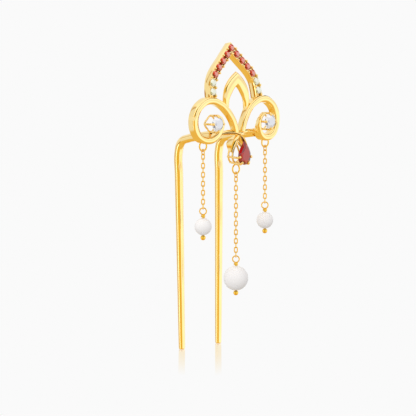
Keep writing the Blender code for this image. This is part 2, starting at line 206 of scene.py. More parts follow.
def profile_curve(outline):
    """A closed cross-section for sweep(), drawn as (across the path, toward the front)."""
    data = bpy.data.curves.new("profile", "CURVE")
    data.dimensions = "2D"
    spline = data.splines.new("POLY")
    spline.points.add(len(outline) - 1)
    for point, (x, y) in zip(spline.points, outline):
        point.co = (x, y, 0, 1)
    spline.use_cyclic_u = True
    guide = bpy.data.objects.new("profile", data)
    bpy.context.scene.collection.objects.link(guide)
    return guide


def sweep(points, radius=1.0, scales=None, outline=None, steps=10, sides=6, closed=False):
    """A round wire, or a strip with an outline, along the smooth curve through points."""
    data = bpy.data.curves.new("sweep", "CURVE")
    data.dimensions = "3D"
    data.resolution_u = steps
    data.twist_mode = "Z_UP"
    profile = None
    if outline:
        profile = profile_curve(outline)
        data.bevel_mode = "OBJECT"
        data.bevel_object = profile
    else:
        data.bevel_depth = radius
        data.bevel_resolution = sides
    data.use_fill_caps = not closed
    spline = data.splines.new("BEZIER")
    spline.bezier_points.add(len(points) - 1)
    for i, (knot, point) in enumerate(zip(spline.bezier_points, points)):
        knot.co = point
        knot.handle_left_type = "AUTO"
        knot.handle_right_type = "AUTO"
        knot.radius = scales[i] if scales else 1.0
    spline.use_cyclic_u = closed
    obj = curve_to_mesh(data)
    if profile:
        bpy.data.objects.remove(profile, do_unlink=True)
    return obj


def turned(profile, axis="Y", steps=40, closed=False):
    """Spin a profile of (radius, height) round the drawing's up ("Y") or forward ("Z") axis."""
    bm = bmesh.new()
    verts = []
    for radius, height in profile:
        verts.append(bm.verts.new((radius, height, 0) if axis == "Y" else (radius, 0, height)))
    edges = [bm.edges.new(pair) for pair in zip(verts, verts[1:])]
    if closed:
        edges.append(bm.edges.new((verts[-1], verts[0])))
    turn_axis = (0, 1, 0) if axis == "Y" else (0, 0, 1)
    bmesh.ops.spin(
        bm,
        geom=verts + edges,
        cent=(0, 0, 0),
        axis=turn_axis,
        angle=math.tau,
        steps=steps,
        use_duplicate=False,
    )
    mesh = bpy.data.meshes.new("turned")
    bm.to_mesh(mesh)
    bm.free()
    close_mesh(mesh)
    return loose_object(mesh)


def torus(width, wire, major=40, minor=12):
    """A ring that faces forward; width is its outside diameter."""
    major_radius = (width - wire) / 2
    bpy.ops.mesh.primitive_torus_add(
        major_segments=major, minor_segments=minor, major_radius=major_radius, minor_radius=wire / 2
    )
    return bpy.context.object


def ball(radius, segments=20, rings=12):
    bm = bmesh.new()
    bmesh.ops.create_uvsphere(bm, u_segments=segments, v_segments=rings, radius=radius)
    mesh = bpy.data.meshes.new("ball")
    bm.to_mesh(mesh)
    bm.free()
    return loose_object(mesh)


def move(obj, matrix):
    obj.data.transform(matrix)
    return obj


def shift(obj, across=0.0, up=0.0, forward=0.0):
    return move(obj, Matrix.Translation((across, up, forward)))


def mirrored(obj):
    mesh = obj.data.copy()
    mesh.transform(MIRROR_ACROSS)
    mesh.flip_normals()
    return loose_object(mesh)


def joined(*objs):
    """One drawing that holds all these closed shells."""
    bm = bmesh.new()
    for obj in objs:
        bm.from_mesh(obj.data)
    mesh = bpy.data.meshes.new("joined")
    bm.to_mesh(mesh)
    bm.free()
    for obj in objs:
        bpy.data.objects.remove(obj, do_unlink=True)
    return loose_object(mesh)


# ---------------------------------------------------------------- placing pieces in the frame


def mesh_box(obj):
    corners = [vertex.co for vertex in obj.data.vertices]
    low = Vector([min(co[i] for co in corners) for i in range(3)])
    high = Vector([max(co[i] for co in corners) for i in range(3)])
    return low, high


def settle(obj):
    return move(obj, DRAWING_TO_FRAME)


def fit(obj, node, axes="XYZ"):
    """Scale and shift a settled drawing so that its box is the CAD node's box along these axes."""
    low, high = mesh_box(obj)
    node_low, node_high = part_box(node)
    for i, axis in enumerate("XYZ"):
        if axis in axes:
            scale = (node_high[i] - node_low[i]) / (high[i] - low[i])
            for vertex in obj.data.vertices:
                vertex.co[i] = node_low[i] + (vertex.co[i] - low[i]) * scale
    return obj


def finish(obj, name, body, node, material, smooth_angle=30):
    """Name a piece, shade it, and let it stand for its CAD node on that node's body."""
    mesh = obj.data
    mesh.name = name
    mesh.materials.clear()
    mesh.materials.append(material)
    if smooth_angle:
        mesh.shade_smooth()
        mesh.set_sharp_from_angle(angle=math.radians(smooth_angle))
    else:
        mesh.shade_flat()
    obj.name = name
    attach(obj, body)
    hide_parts(node)
    return obj


def body_of(node):
    return frame["nodes"][node]["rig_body"]


def gold_piece(obj, name, node, smooth_angle=30, material=None):
    return finish(obj, name, body_of(node), node, material or GOLD, smooth_angle)


# ---------------------------------------------------------------- materials


class Shader:
    """A node tree, with short calls to add nodes and link them."""

    def __init__(self, name):
        self.material = bpy.data.materials.new(name)
        self.material.use_nodes = True
        self.tree = self.material.node_tree
        self.surface = self.tree.nodes["Principled BSDF"]

    def add(self, kind, **settings):
        made = self.tree.nodes.new("ShaderNode" + kind)
        for key, value in settings.items():
            setattr(made, key, value)
        return made

    def link(self, source, target):
        self.tree.links.new(source, target)

    def set(self, **values):
        for key, value in values.items():
            self.surface.inputs[key.replace("_", " ")].default_value = value

    def noise(self, scale, detail=3.0):
        coords = self.add("TexCoord")
        texture = self.add("TexNoise")
        texture.inputs["Scale"].default_value = scale
        texture.inputs["Detail"].default_value = detail
        self.link(coords.outputs["Object"], texture.inputs["Vector"])
        return texture.outputs["Fac"]

    def remap(self, source, low, high):
        ranged = self.add("MapRange")
        ranged.inputs["To Min"].default_value = low
        ranged.inputs["To Max"].default_value = high
        self.link(source, ranged.inputs["Value"])
        return ranged.outputs["Result"]

    def ramp(self, source, stops):
        ramp = self.add("ValToRGB")
        elements = ramp.color_ramp.elements
        while len(elements) < len(stops):
            elements.new(0.5)
        for element, (position, colour) in zip(elements, stops):
            element.position = position
            element.color = (*colour, 1)
        self.link(source, ramp.inputs["Fac"])
        return ramp.outputs["Color"]

    def bump(self, source, strength, distance):
        bump = self.add("Bump")
        bump.inputs["Strength"].default_value = strength
        bump.inputs["Distance"].default_value = distance
        self.link(source, bump.inputs["Height"])
        self.link(bump.outputs["Normal"], self.surface.inputs["Normal"])

    def facet_noise(self):
        """A number that is the same all over one flat facet and differs from facet to facet, which picks
        that facet's painted shade.
        """
        geometry = self.add("NewGeometry")
        snapped = self.add("VectorMath", operation="SNAP")
        snapped.inputs[1].default_value = (FACET_SNAP, FACET_SNAP, FACET_SNAP)
        random = self.add("TexWhiteNoise")
        self.link(geometry.outputs["True Normal"], snapped.inputs[0])
        self.link(snapped.outputs["Vector"], random.inputs["Vector"])
        return random.outputs["Value"]

    def faces_forward(self):
        """1 on a facet that looks out of the ornament's face, as a stone's table does, and 0 elsewhere; it
        masks the stones' painted table shade.
        """
        geometry = self.add("NewGeometry")
        share = self.add("VectorMath", operation="DOT_PRODUCT")
        share.inputs[1].default_value = (0, -1, 0)
        above = self.add("Math", operation="GREATER_THAN")
        above.inputs[1].default_value = TABLE_FACING
        self.link(geometry.outputs["True Normal"], share.inputs[0])
        self.link(share.outputs["Value"], above.inputs[0])
        return above.outputs["Value"]


def make_gold(name, deep, light):
    """Gold plate: fine polishing waves, with patches of slightly deeper colour and duller polish."""
    shader = Shader(name)
    shader.set(Metallic=1.0)
    patches = shader.noise(160.0, detail=1.0)
    colour = shader.ramp(patches, ((0.3, deep), (0.7, light)))
    shader.link(colour, shader.surface.inputs["Base Color"])
    shader.link(shader.remap(shader.noise(700.0), 0.06, 0.12), shader.surface.inputs["Roughness"])
    shader.bump(shader.noise(500.0, detail=1.0), strength=0.02, distance=0.00005)
    return shader.material


def make_stone(name, stops, table_painted_light):
    """Cut stone with painted light: each facet is painted its own shade, from dark to light, which stands in
    for the light that the facets behind it would send back; a facet that looks straight forward, as the
    table does, takes a painted table shade instead.
    """
    shader = Shader(name)
    shader.set(IOR=1.75, Roughness=0.02)
    # Painted light: the forward-looking table facet gets the painted table shade, and every other facet gets
    # a painted shade picked at random from the ramp.
    mix = shader.add("MixRGB")
    mix.inputs["Color2"].default_value = (*table_painted_light, 1)
    shader.link(shader.faces_forward(), mix.inputs["Fac"])
    shader.link(shader.ramp(shader.facet_noise(), stops), mix.inputs["Color1"])
    shader.link(mix.outputs["Color"], shader.surface.inputs["Base Color"])
    return shader.material


def make_pearl():
    """Nacre: a soft body under a clear skin, with faint cloudy growth bands."""
    shader = Shader("pearl_nacre")
    shader.set(Roughness=0.45, Specular_IOR_Level=0.15, Coat_Weight=0.04, Coat_Roughness=0.15)
    clouds = shader.noise(170.0, detail=1.0)
    colour = shader.ramp(clouds, ((0.3, (0.90, 0.87, 0.86)), (0.7, (0.94, 0.915, 0.90))))
    shader.link(colour, shader.surface.inputs["Base Color"])
    return shader.material


GOLD = make_gold("polished_gold_plate", (0.97, 0.74, 0.32), (0.99, 0.78, 0.37))
CHAIN_GOLD = make_gold("chain_gold_plate", (0.88, 0.58, 0.09), (0.92, 0.63, 0.12))
# Painted facet light for the stones: shades from dark to light that stand in for light inside a stone, each
# with its place on the ramp
RED_PAINTED_FACET_SHADES = (
    (0.0, (0.16, 0.0, 0.0)),
    (0.45, (0.50, 0.0, 0.0)),
    (0.8, (0.80, 0.05, 0.02)),
    (1.0, (0.95, 0.42, 0.32)),
)
PEAR_PAINTED_FACET_SHADES = (
    (0.0, (0.05, 0.0, 0.0)),
    (0.5, (0.26, 0.0, 0.0)),
    (0.8, (0.50, 0.01, 0.01)),
    (1.0, (0.75, 0.16, 0.12)),
)
CLEAR_PAINTED_FACET_SHADES = (
    (0.0, (0.30, 0.31, 0.36)),
    (0.35, (0.72, 0.73, 0.8)),
    (0.6, (0.90, 0.9, 0.96)),
    (1.0, (1.0, 1.0, 1.0)),
)
PALE_PAINTED_FACET_SHADES = (
    (0.0, (0.42, 0.42, 0.18)),
    (0.35, (0.76, 0.78, 0.48)),
    (0.6, (0.92, 0.94, 0.78)),
    (1.0, (1.0, 1.0, 0.95)),
)
# Stones whose colour holds painted facet light and a painted table shade
RED_STONE = make_stone("red_stone_painted_facet_light", RED_PAINTED_FACET_SHADES, table_painted_light=(0.84, 0.34, 0.28))
PEAR_STONE = make_stone("pear_stone_painted_facet_light", PEAR_PAINTED_FACET_SHADES, table_painted_light=(0.48, 0.03, 0.02))
CLEAR_STONE = make_stone("clear_stone_painted_facet_light", CLEAR_PAINTED_FACET_SHADES, table_painted_light=(0.86, 0.87, 0.93))
PALE_STONE = make_stone("pale_stone_painted_facet_light", PALE_PAINTED_FACET_SHADES, table_painted_light=(0.92, 0.95, 0.80))
PEARL = make_pearl()


# ---------------------------------------------------------------- prongs


def draw_prong():
    """Right prong: up from its rounded tip, round the bend, and forward into the back of the scroll."""
    tip = [(8.45, up, 0.0) for up, _ in TIP_ROUNDING]
    rest = (
        (8.6, 12.0, -0.1),
        (8.95, 38.0, -0.3),
        (9.2, 58.0, -0.5),
        (9.25, 66.0, -0.5),
        (9.25, 69.15, 0.9),
        (9.3, 70.5, 4.4),
        (9.5, 71.3, 9.5),
        (9.8, 72.2, 15.9),
    )
    scales = [scale for _, scale in TIP_ROUNDING] + [0.82, 0.92, 1, 1, 1, 1, 1, 1]
    return sweep(tip + list(rest), radius=PRONG_RADIUS, scales=scales, sides=10)


# ---------------------------------------------------------------- scrolls and leaves


def dome_points(half, crown, steps=10):
    """The front of a strip as a shallow arc from its right edge to its left edge."""
    radius = (half * half + crown * crown) / (2 * crown)
    reach = math.asin(half / radius)
    points = []
    for i in range(2, steps - 1):
        turn = reach * (1 - 2 * i / steps)
        points.append((radius * math.sin(turn), radius * (math.cos(turn) - 1), 0))
    return points


def strip_outline(width, depth, crown):
    half = width / 2
    corners = [(-half, -depth, EDGE_FILLET), (half, -depth, EDGE_FILLET), (half, -crown, FRONT_FILLET)]
    corners += dome_points(half, crown)
    corners.append((-half, -crown, FRONT_FILLET))
    return rounded(corners)


def ridge_outline(width, depth, ridge):
    """A leaf's section: two faces that swell a little and meet in a ridge."""
    half = width / 2
    corners = (
        (-half, -depth, 0.15),
        (half, -depth, 0.15),
        (half, -ridge, 0.14),
        (half * 0.5, -ridge * 0.38, 0.2),
        (0, 0, 0.07),
        (-half * 0.5, -ridge * 0.38, 0.2),
        (-half, -ridge, 0.14),
    )
    return rounded(corners, steps=4)


def draw_scroll():
    """Right scroll: from the middle of the head up and over, round, and inward to a thin curl."""
    path = (
        (1.35, 72.9, 19.3),
        (2.1, 75.4, 19.3),
        (3.3, 77.7, 19.2),
        (5.15, 80.1, 18.9),
        (7.6, 82.0, 18.6),
        (12.2, 83.25, 18.3),
        (15.7, 82.0, 18.2),
        (18.0, 79.3, 18.2),
        (18.6, 76.3, 18.2),
        (17.85, 73.3, 18.3),
        (16.15, 71.3, 18.5),
        (13.4, 70.5, 18.7),
        (10.7, 71.2, 19.1),
        (9.0, 73.3, 19.6),
        (8.5, 75.8, 20.0),
        (9.3, 77.6, 20.1),
        (10.9, 78.6, 20.1),
    )
    scales = (0.82, 0.84, 0.86, 0.9, 0.94, 1, 1, 1, 1, 1, 1, 1, 0.95, 0.74, 0.52, 0.36, 0.24)
    outline = strip_outline(SCROLL_WIDTH, SCROLL_DEPTH, SCROLL_CROWN)
    return sweep(path, scales=scales, outline=outline, steps=16)


def draw_leaf():
    """Right upper leaf: from the junction out to the underside of the curl."""
    path = (
        (0.0, 71.9, 19.4),
        (2.2, 72.5, 19.1),
        (4.6, 72.6, 18.8),
        (6.6, 72.4, 18.6),
        (8.4, 72.1, 18.4),
    )
    outline = ridge_outline(LEAF_WIDTH, LEAF_DEPTH, LEAF_RIDGE)
    return sweep(path, scales=(0.72, 0.9, 1.0, 0.75, 0.3), outline=outline)


def draw_lower_leaf():
    """Right lower leaf: from behind the upper leaf, down beside the pear stone's tip."""
    path = ((0.3, 71.8, 19.0), (1.7, 70.3, 19.4), (2.85, 68.5, 19.3), (3.9, 66.4, 19.1))
    outline = ridge_outline(LOWER_LEAF_WIDTH, LOWER_LEAF_DEPTH, LEAF_RIDGE)
    return sweep(path, scales=(0.55, 1.0, 1.0, 0.45), outline=outline)


# ---------------------------------------------------------------- arches


def smooth_points(points, steps=8):
    """Points along the Catmull-Rom curve through these, which keeps straight ends."""
    points = [Vector(point) for point in points]
    padded = [points[0] * 2 - points[1]] + points + [points[-1] * 2 - points[-2]]
    smooth = []
    for a, b, c, d in zip(padded, padded[1:], padded[2:], padded[3:]):
        for k in range(steps):
            t = k / steps
            linear = (c - a) * t
            square = (2 * a - 5 * b + 4 * c - d) * t * t
            cube = (3 * b - a - 3 * c + d) * t ** 3
            smooth.append((2 * b + linear + square + cube) / 2)
    smooth.append(points[-1])
    return smooth


def resampled(points, count):
    """The same line with evenly spaced points."""
    lengths = [0.0]
    for one, two in zip(points, points[1:]):
        lengths.append(lengths[-1] + (two - one).length)
    even = []
    i = 0
    for k in range(count):
        reach = lengths[-1] * k / (count - 1)
        while i < len(points) - 2 and lengths[i + 1] < reach:
            i += 1
        share = (reach - lengths[i]) / (lengths[i + 1] - lengths[i])
        even.append(points[i].lerp(points[i + 1], share))
    return even


def arch_edge(centre_line, distance):
    """The line moved outward by distance, with its mitred tip on the centre plane."""
    first, second = centre_line[:2]
    half_angle = math.atan2(second.x - first.x, first.y - second.y)
    edge = [Vector((0, first.y + distance / math.sin(half_angle)))]
    for before, point, after in zip(centre_line, centre_line[1:], centre_line[2:]):
        along = (after - before).normalized()
        moved = point + Vector((-along.y, along.x)) * distance
        if moved.x > 0.05:
            edge.append(moved)
    end_along = (centre_line[-1] - centre_line[-2]).normalized()
    edge.append(centre_line[-1] + Vector((-end_along.y, end_along.x)) * distance)
    return edge


def ribbon(outer, inner, outline):
    """A pointed arch between two edges of its right half, tip first.

    outline gives its section as (share of the way from the outer edge, forward).
    """
    bm = bmesh.new()
    rings = []
    for start, end in zip(resampled(outer, ARCH_STATIONS), resampled(inner, ARCH_STATIONS)):
        ring = []
        for share, forward in outline:
            across, up = start.lerp(end, share)
            ring.append(bm.verts.new((across, up, forward)))
        rings.append(ring)
    for one, two in zip(rings, rings[1:]):
        for k in range(len(outline)):
            after = (k + 1) % len(outline)
            bm.faces.new((one[k], one[after], two[after], two[k]))
    bm.faces.new(rings[-1])
    half = bmesh.ops.duplicate(bm, geom=bm.verts[:] + bm.edges[:] + bm.faces[:])["geom"]
    mirrored_verts = [item for item in half if isinstance(item, bmesh.types.BMVert)]
    bmesh.ops.scale(bm, verts=mirrored_verts, vec=(-1, 1, 1))
    mesh = bpy.data.meshes.new("ribbon")
    bm.to_mesh(mesh)
    bm.free()
    close_mesh(mesh)
    return loose_object(mesh)


def lean(obj):
    """Carry a flat arch drawing onto the leaning arch, which tips back above its feet."""
    foot = Matrix.Translation((0, ARCH_FOOT_UP, ARCH_FOOT_FORWARD))
    return move(obj, foot @ Matrix.Rotation(ARCH_LEAN, 4, "X") @ Matrix.Translation((0, -ARCH_FOOT_UP, 0)))


def channel_outline(depth):
    """Section of the set arch: two thin rims with a channel for the stones between them."""
    corners = (
        (0, -depth, 0.03),
        (0, 0, 0.03),
        (0.10, 0, 0.02),
        (0.15, -CHANNEL_DEPTH, 0.02),
        (0.85, -CHANNEL_DEPTH, 0.02),
        (0.90, 0, 0.02),
        (1, 0, 0.03),
        (1, -depth, 0.03),
    )
    return rounded(corners, steps=3)


def domed_share_outline(width, depth, crown):
    """A domed strip's section, with its width given in shares from the outer edge."""
    return [(0.5 - x / width, y) for x, y in strip_outline(width, depth, crown)]


def bead_places(path):
    """Claw beads on the right side: a pair between neighbouring stones, and a pair at the foot."""
    reach = BEAD_SPREAD * ARCH_WIDTH / 2
    places = []
    for i in range(len(ARCH_STONES) - 1):
        middle = (Vector(path[i]) + Vector(path[i + 1])) / 2
        along = (Vector(path[i + 1]) - Vector(path[i])).normalized()
        for edge in (reach, -reach):
            places.append((middle.x - along.y * edge, middle.y + along.x * edge))
    for edge in (FOOT_BEAD_REACH, -FOOT_BEAD_REACH):
        places.append((ARCH_STONES[-1][0] + edge, FOOT_BEADS_UP))
    return places


def draw_outer_arch():
    path = list(ARCH_STONES) + [ARCH_FOOT]
    centre_line = smooth_points(path)
    outer = arch_edge(centre_line, ARCH_WIDTH / 2)
    inner = arch_edge(centre_line, -ARCH_WIDTH / 2)
    shells = [ribbon(outer, inner, channel_outline(ARCH_DEPTH))]
    for across, up in bead_places(path):
        for side in (1, -1):
            shells.append(shift(ball(BEAD_RADIUS), side * across, up, BEAD_FORWARD))
    return lean(joined(*shells))


def draw_inner_arch():
    outer = ((0, 92.4), (1.5, 91.4), (3.3, 89.8), (4.9, 87.6), (5.6, 85.4), (5.75, 83.2), (5.5, 81.1))
    inner = ((0, 87.6), (0.9, 86.8), (2.0, 85.3), (2.9, 83.9), (3.4, 82.3), (3.5, 80.7), (3.3, 79.3))
    outline = domed_share_outline(INNER_ARCH_WIDTH, INNER_ARCH_DEPTH, INNER_ARCH_CROWN)
    arch = ribbon(smooth_points(outer), smooth_points(inner), outline)
    return shift(arch, forward=INNER_ARCH_FORWARD)


# ---------------------------------------------------------------- stones and settings


def brilliant():
    """Unit brilliant, table forward, girdle at forward 0: the hull of its facets' corners."""
    bm = bmesh.new()

    def ring(count, radius, forward, turn=0.0):
        for i in range(count):
            angle = math.tau * (i + turn) / count
            bm.verts.new((radius * math.cos(angle), radius * math.sin(angle), forward))

    ring(8, 0.56, 0.38, 0.5)
    ring(8, 0.80, 0.25)
    ring(16, 1.0, 0.03)
    ring(16, 1.0, -0.03)
    ring(8, 0.52, -0.47, 0.5)
    bm.verts.new((0, 0, -0.72))
    bmesh.ops.convex_hull(bm, input=bm.verts)
    bmesh.ops.recalc_face_normals(bm, faces=bm.faces)
    mesh = bpy.data.meshes.new("brilliant")
    bm.to_mesh(mesh)
    bm.free()
    return loose_object(mesh)


def teardrop(turn, grow=0.0):
    """Point of the pear outline at a turn from its tip, moved outward by grow."""
    half_length = PEAR_LENGTH / 2 + grow
    half_width = (PEAR_HALF_WIDTH + grow) / 0.77
    across = half_width * math.sin(turn) * abs(math.sin(turn / 2))
    return across, PEAR_TIP - PEAR_LENGTH / 2 + half_length * math.cos(turn)


def draw_pear_stone():
    """A brilliant drawn out from round to the teardrop outline."""
    stone = brilliant()
    waist = PEAR_TIP - PEAR_LENGTH * 0.62
    for vertex in stone.data.vertices:
        reach = math.hypot(vertex.co.x, vertex.co.y)
        across, up = teardrop(math.atan2(vertex.co.x, vertex.co.y) % math.tau)
        depth = vertex.co.z * PEAR_HALF_WIDTH * (0.85 if vertex.co.z > 0 else 1.0)
        vertex.co = (across * reach, waist + (up - waist) * reach, depth)
    return stone


def claw(path):
    """A round claw that thickens into a rounded tip."""
    tip = Vector(path[-1])
    wire = sweep(path, radius=CLAW_RADIUS, sides=5)
    return joined(wire, shift(ball(CLAW_TIP_RADIUS, 16, 10), *tip))


def draw_round_basket():
    """A rounded diamond of wire behind the stone, and four claws that bend forward over its edge."""
    rail = []
    for i in range(16):
        turn = math.tau * i / 16
        reach = BASKET_REACH - BASKET_DIAMOND_CUT * math.sin(2 * turn) ** 2
        rail.append((reach * math.cos(turn), reach * math.sin(turn), BASKET_FORWARD))
    shells = [sweep(rail, radius=BASKET_WIRE / 2, steps=4, closed=True)]
    for quarter in range(4):
        piece = claw(((BASKET_REACH, 0, 17.25), (2.66, 0, 19.7), (2.6, 0, 20.9), (2.25, 0, 21.25)))
        shells.append(move(piece, Matrix.Rotation(math.radians(90 * quarter), 4, "Z")))
    return shift(joined(*shells), ROUND_CENTRE[0], ROUND_CENTRE[1])


def pear_rail(forward):
    points = []
    for i in range(24):
        across, up = teardrop(math.tau * (i + 0.5) / 24, grow=-0.35)
        points.append((across, up, forward))
    return sweep(points, radius=PEAR_RAIL_RADIUS, steps=4, closed=True)


def draw_pear_basket():
    """Two teardrop rails behind the stone, tied by four claws that grip its rounded end and shoulders."""
    shells = [pear_rail(forward) for forward in PEAR_RAILS_FORWARD]
    for turn_degrees in PEAR_CLAW_TURNS:
        turn = math.radians(turn_degrees)
        base = teardrop(turn, grow=-0.3)
        side = teardrop(turn, grow=0.15)
        over = teardrop(turn, grow=-0.35)
        shells.append(claw(((*base, 15.75), (*side, 20.1), (*side, 21.0), (*over, 21.4))))
    return joined(*shells)


# ---------------------------------------------------------------- chains and drops


def draw_link(turn, width=LINK_WIDTH):
    """One oval link, standing on end and turned about the chain's line."""
    link = torus(width, LINK_WIRE, major=24, minor=10)
    stretch = (LINK_INSIDE + 2 * LINK_WIRE - width) / 2
    for vertex in link.data.vertices:
        if abs(vertex.co.y) > 0.01:
            vertex.co.y += math.copysign(stretch, vertex.co.y)
    return move(link, Matrix.Rotation(turn, 4, "Y"))


def link_turn(index):
    """Each link is a quarter turn on from the last, and the first three also take up the chain's twist."""
    return math.radians(90) * (index + 1) + CHAIN_TWIST * min(index / 2, 1)


def drawing_place(point):
    """A point of the frame as (across, up, forward) in millimetres."""
    return DRAWING_TO_FRAME.inverted() @ Vector(point)


def node_places(node):
    """The node's middle and its lowest and highest corners, in drawing millimetres."""
    low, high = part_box(node)
    return drawing_place((low + high) / 2), low.z / MM, high.z / MM


def chain_nodes(side):
    names = [name for name in frame["nodes"] if name.startswith(f"{side}_chain_")]
    return sorted(names, key=lambda name: int(name.rsplit("_", 1)[1]))


def build_chain(side):
    """A chain's links; the first is a little wider, which leaves it room to swing on its ring."""
    index = 0
    link_height = LINK_INSIDE + 2 * LINK_WIRE
    for node in chain_nodes(side):
        middle, low, high = node_places(node)
        count = round((high - low - link_height) / LINK_PITCH) + 1
        for i in range(count):
            up = high - link_height / 2 - i * LINK_PITCH
            width = LINK_WIDTH if index else FIRST_LINK_WIDTH
            link = shift(draw_link(link_turn(index), width), middle.x, up, middle.z)
            index += 1
            gold_piece(settle(link), f"{side}_link_{index:02d}", node, 60, CHAIN_GOLD)


def draw_wraps():
    """Two turns of wire round the pin's neck, the end tucked in."""
    points = []
    turns = 2.4
    for i in range(30):
        share = i / 29
        angle = math.tau * turns * share
        reach = 0.5 if 0.04 < share < 0.96 else 0.4
        up = -share * (WRAP_HEIGHT - WRAP_WIRE) - WRAP_WIRE / 2
        points.append((reach * math.cos(angle), up, reach * math.sin(angle)))
    return sweep(points, radius=WRAP_WIRE / 2, steps=3, sides=4)


def build_head_pin(side):
    node = f"{side}_head_pin"
    middle, low, high = node_places(node)
    eye_up = high - EYE_WIDTH / 2
    neck_up = eye_up + (EYE_WIRE - EYE_WIDTH) / 2
    eye = move(torus(EYE_WIDTH, EYE_WIRE), Matrix.Rotation(CHAIN_TWIST, 4, "Y"))
    shaft_profile = ((0, neck_up), (PIN_RADIUS, neck_up - 0.05), (PIN_RADIUS, low + 0.8), (0, low + 0.8))
    ball_up = low + BALL_RADIUS
    shells = (
        shift(eye, up=eye_up),
        shift(draw_wraps(), up=neck_up),
        turned(shaft_profile, steps=20),
        shift(ball(BALL_RADIUS, 28, 18), up=ball_up),
    )
    pin = shift(joined(*shells), middle.x, 0, middle.z)
    gold_piece(settle(pin), f"{side}_wire_pin", node, 50, CHAIN_GOLD)


def build_pearl(side):
    node = f"{side}_pearl"
    middle, low, high = node_places(node)
    radius = (high - low) / 2
    bore = PIN_RADIUS + 0.05
    radius = math.hypot(radius, bore)
    start = math.asin(bore / radius)
    skin = []
    for i in range(33):
        turn = start + (math.pi - 2 * start) * i / 32
        skin.append((radius * math.sin(turn), radius * math.cos(turn)))
    pearl = shift(turned(skin, steps=64, closed=True), middle.x, (low + high) / 2, middle.z)
    fit(settle(pearl), node)
    finish(pearl, f"{side}_drop_pearl", body_of(node), node, PEARL, 60)


def build_hang_ring(side):
    node = f"{side}_hang_ring"
    middle, low, _ = node_places(node)
    ring = shift(torus(RING_WIDTH, RING_WIRE, 48, 14), middle.x, low + RING_WIDTH / 2, middle.z)
    gold_piece(settle(ring), f"{side}_ring", node, 60, CHAIN_GOLD)


# ---------------------------------------------------------------- assembly of the object


def build_pair(draw, name, node, axes, smooth_angle=30):
    """A piece on each side, the left one a mirror image of the right."""
    right = draw()
    left = mirrored(right)
    for side, obj in zip(SIDES, (left, right)):
        fit(settle(obj), f"{side}_{node}", axes)
        gold_piece(obj, f"{side}_{name}", f"{side}_{node}", smooth_angle)


def build_stones():
    for node in sorted(frame["nodes"]):
        if node == "pear_stone":
            stone = fit(settle(draw_pear_stone()), node)
            finish(stone, "pear_gem", "fork", node, PEAR_STONE, 0)
        elif node.startswith("arch_") and "stone" in node:
            stone = lean(shift(brilliant(), forward=PAVE_GIRDLE_FORWARD))
            fit(settle(stone), node)
            slot, material = ("red_stone", RED_STONE) if "red" in node else ("clear_stone", PALE_STONE)
            finish(stone, node.replace("stone", "gem"), "fork", node, material, 0)
        elif node.endswith("round_stone"):
            stone = fit(settle(brilliant()), node)
            finish(stone, node.replace("stone", "gem"), "fork", node, CLEAR_STONE, 0)


def build_object():
    build_pair(draw_prong, "fork_leg", "prong", "X", 40)
    build_pair(draw_scroll, "spiral", "scroll", "XYZ")
    build_pair(draw_leaf, "upper_leaf", "leaf", "Z")
    build_pair(draw_lower_leaf, "side_leaf", "lower_leaf", "")
    build_pair(draw_round_basket, "claw_basket", "stone_basket", "", 50)
    gold_piece(settle(draw_pear_basket()), "pear_claw_basket", "pear_basket", 50)
    gold_piece(fit(settle(draw_outer_arch()), "outer_arch", "X"), "set_arch", "outer_arch")
    gold_piece(settle(draw_inner_arch()), "plain_arch", "inner_arch")
    build_stones()
    for side in ("left", "centre", "right"):
        build_hang_ring(side)
        build_chain(side)
        build_head_pin(side)
        build_pearl(side)


build_object()


# ---------------------------------------------------------------- studio


PAPER_WHITE = 0.956
CAMERA_PLACE = Vector((-0.4279, -0.4502, 0.1098))
CAMERA_TARGET = Vector((0.0019, -0.0018, 0.0466))
CAMERA_LENS = 161.9
TOWARD_CAMERA = math.atan2(CAMERA_PLACE.y, CAMERA_PLACE.x)

# Studio panels, in degrees: (turn to the camera's right, elevation, half width, half height, brightness)
BACKDROP = (180, 8, 55, 40, PAPER_WHITE)
OVERHEAD = (0, 88, 40, 40, 1.1)
LEFT_WALL = (-98, 0, 12, 60, 0.9)
LEFT_STRIP = (-60, 0, 8, 70, 2.2)
RIGHT_SOFTBOX = (81, 0, 55, 38, 1.25)
FLOOR_BELOW = -0.55
FLOOR_COLOUR = (0.84, 0.59, 0.18)
WALL_COLOUR = (0.84, 0.58, 0.11, 1)
FAR_WALL_COLOUR = (0.52, 0.26, 0.01, 1)
FLOOR_SIZE = 6.0
FLOOR_GAP = 0.00005
FLOOR_GLOSS = 0.75
FLOOR_GLOSS_NEAR = 0.005
FLOOR_GLOSS_FAR = 0.055
FLOOR_LANE_NARROWING = 0.32
FLOOR_LANE_ROUGHNESS = 0.04
FAR_WALL_TURN = -125
RIM_EDGE = (1.5, 1.8)
WHITE_BAND_START = (0.02, 0.05)
WHITE_BAND_END = (0.24, 0.32)
KEY_LIGHT = (-25, 50)
KEY_SIDE_WHITE = 1.15
FAR_SIDE_WHITE = 0.42


def add_camera():
    data = bpy.data.cameras.new("camera")
    data.sensor_width = 36.0
    data.lens = CAMERA_LENS
    camera = bpy.data.objects.new("camera", data)
    bpy.context.scene.collection.objects.link(camera)
    camera.location = CAMERA_PLACE
    camera.rotation_euler = (CAMERA_TARGET - CAMERA_PLACE).to_track_quat("-Z", "Y").to_euler()
    bpy.context.scene.camera = camera


